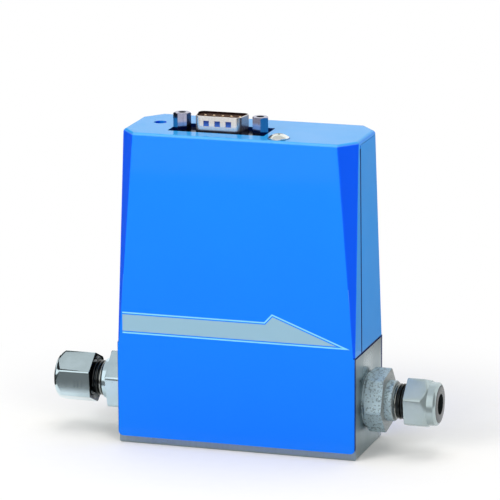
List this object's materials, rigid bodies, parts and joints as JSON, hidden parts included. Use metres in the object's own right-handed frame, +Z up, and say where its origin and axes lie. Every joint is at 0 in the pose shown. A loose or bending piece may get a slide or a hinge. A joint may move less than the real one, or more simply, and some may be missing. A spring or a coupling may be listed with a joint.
{
  "type": "thermal mass flow meter",
  "caption": "Thermal gas mass flow meter: blue folded sheet cover on a stainless base block, compression tube fittings at both ends, male D-shaped signal connector on top.",
  "frame": {"origin": "middle of the base block's underside, below the flow axis", "axes": "+X along the flow from inlet to outlet, -Y towards the cover's front face, +Z up towards the connector"},
  "size_m": [0.1234, 0.033, 0.1031],
  "materials": {
    "cover_paint": "gloss baked enamel, bright blue",
    "block_steel": "milled and brushed stainless steel",
    "fitting_steel": "bead-blasted stainless steel",
    "nut_steel": "turned stainless steel",
    "ferrule_steel": "fine turned stainless steel",
    "screw_steel": "bright plated steel",
    "nickel_plate": "nickel plating",
    "tin_plate": "bright tin plating",
    "zinc_plate": "zinc-plated sheet steel",
    "seal_rubber": "black fluoroelastomer",
    "insulator_plastic": "glass-filled polyester",
    "pin_gold": "gold flash over nickel",
    "winding_copper": "enamelled resistance wire",
    "sensor_can": "satin drawn aluminium",
    "board_laminate": "green solder resist on glass epoxy",
    "chip_epoxy": "moulded black epoxy",
    "capacitor_can": "drawn aluminium can",
    "trimmer_plastic": "moulded blue plastic",
    "rotor_plastic": "moulded white plastic"
  },
  "bodies": {
    "meter": {"base_block": "block_steel", "front_cover": "cover_paint", "rear_cover": "cover_paint", "rear_cover_screws": "screw_steel", "cover_top_screw": "screw_steel", "cover_clinch_nut": "zinc_plate", "inlet_fitting_body": "fitting_steel", "outlet_fitting_body": "fitting_steel", "inlet_port_seal": "seal_rubber", "outlet_port_seal": "seal_rubber", "inlet_front_ferrule": "ferrule_steel", "outlet_front_ferrule": "ferrule_steel", "inlet_back_ferrule": "ferrule_steel", "outlet_back_ferrule": "ferrule_steel", "inlet_nut": "nut_steel", "outlet_nut": "nut_steel", "inlet_screen": "ferrule_steel", "bypass_element": "ferrule_steel", "bypass_retainer": "ferrule_steel", "sensor_base": "block_steel", "sensor_tube": "ferrule_steel", "upstream_winding": "winding_copper", "downstream_winding": "winding_copper", "sensor_case": "sensor_can", "sensor_terminal_board": "board_laminate", "sensor_seals": "seal_rubber", "sensor_screws": "screw_steel", "chassis_bracket": "zinc_plate", "chassis_screws": "screw_steel", "connector_front_shell": "tin_plate", "connector_rear_shell": "tin_plate", "connector_insulator": "insulator_plastic", "connector_pins": "pin_gold", "left_jackscrew": "nickel_plate", "right_jackscrew": "nickel_plate", "jackscrew_washers": "zinc_plate", "jackscrew_nuts": "nickel_plate", "main_board": "board_laminate", "board_standoffs": "nickel_plate", "board_screws": "screw_steel", "amplifier_chips": "chip_epoxy", "filter_capacitors": "capacitor_can", "voltage_regulator": "chip_epoxy", "board_link_header": "chip_epoxy", "board_link_pins": "pin_gold", "connector_board": "board_laminate", "zero_trimmer_body": "trimmer_plastic"},
    "zero_rotor": {"zero_trimmer_rotor": "rotor_plastic"}
  },
  "joints": [
    {"name": "zero_adjust", "type": "hinge", "parent": "meter", "child": "zero_rotor", "pos_m": [-0.0293, 0.0022, 0.0937], "axis": [0, 0, 1], "range_deg": [-120, 120]}
  ]
}
